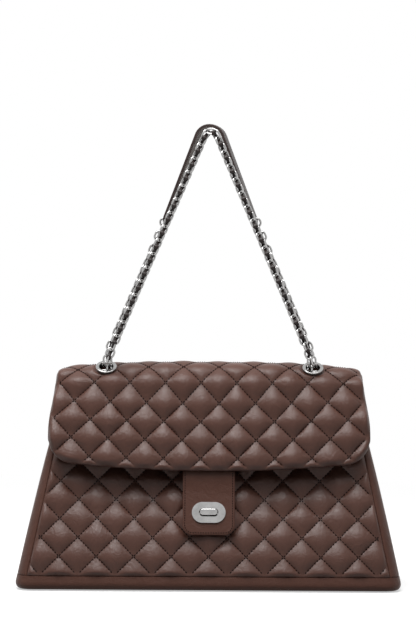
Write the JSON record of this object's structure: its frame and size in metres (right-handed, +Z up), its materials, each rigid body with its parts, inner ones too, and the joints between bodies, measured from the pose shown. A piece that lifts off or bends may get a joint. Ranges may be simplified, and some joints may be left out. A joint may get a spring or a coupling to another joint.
{
  "type": "chain shoulder bag",
  "caption": "Quilted leather flap bag hanging from a doubled, leather-laced chain strap with a shoulder pad; flap, turn lock and strap move.",
  "frame": {"origin": "middle of the shoulder pad's inner face at the top of the strap, where a shoulder or hook bears the bag", "axes": "+Z up along the strap's drop, -Y out of the bag's front, +X to the right as seen from the front"},
  "size_m": [0.4522, 0.1502, 0.5574],
  "materials": {
    "quilted_leather": "satin, diamond quilted",
    "plain_leather": "satin",
    "lining_leather": "smooth",
    "lining_cloth": "woven",
    "wadding": "felted",
    "stiff_board": "matt",
    "polished_metal": "polished"
  },
  "bodies": {
    "strap": {"front_chain": "polished_metal", "left_front_lace": "plain_leather", "right_front_lace": "plain_leather", "left_rear_chain": "polished_metal", "right_rear_chain": "polished_metal", "left_rear_lace": "plain_leather", "right_rear_lace": "plain_leather", "left_pivot_ring": "polished_metal", "right_pivot_ring": "polished_metal", "left_pad_ring": "polished_metal", "right_pad_ring": "polished_metal", "pad_leather": "plain_leather", "pad_lining": "lining_leather"},
    "bag": {"front_panel": "quilted_leather", "front_wadding": "wadding", "back_panel": "quilted_leather", "back_wadding": "wadding", "left_gusset": "plain_leather", "right_gusset": "plain_leather", "base_panel": "plain_leather", "base_board": "stiff_board", "lining_bag": "lining_cloth", "mouth_facing": "lining_leather", "ridge_leather": "quilted_leather", "ridge_wadding": "wadding", "ridge_lining": "lining_leather", "left_eyelet": "polished_metal", "right_eyelet": "polished_metal", "left_eyelet_washer": "polished_metal", "right_eyelet_washer": "polished_metal", "left_eyelet_pin": "polished_metal", "right_eyelet_pin": "polished_metal", "lock_base": "polished_metal", "lock_backing": "polished_metal"},
    "flap": {"flap_leather": "quilted_leather", "flap_wadding": "wadding", "flap_lining": "lining_leather", "closing_tab": "plain_leather", "lock_front_plate": "polished_metal", "lock_rear_plate": "polished_metal"},
    "lock_knob": {"lock_knob": "polished_metal"}
  },
  "joints": [
    {"name": "strap_swing", "type": "hinge", "parent": "strap", "child": "bag", "pos_m": [0, -0.0105, -0.29352], "axis": [1, 0, 0], "range_deg": [-25, 25]},
    {"name": "flap_fold", "type": "hinge", "parent": "bag", "child": "flap", "pos_m": [0, -0.02388, -0.304], "axis": [-1, 0, 0], "range_deg": [0, 115]},
    {"name": "lock_turn", "type": "hinge", "parent": "bag", "child": "lock_knob", "pos_m": [0, -0.0728, -0.46086], "axis": [0, -0.9563, 0.2924], "range_deg": [0, 90]}
  ]
}
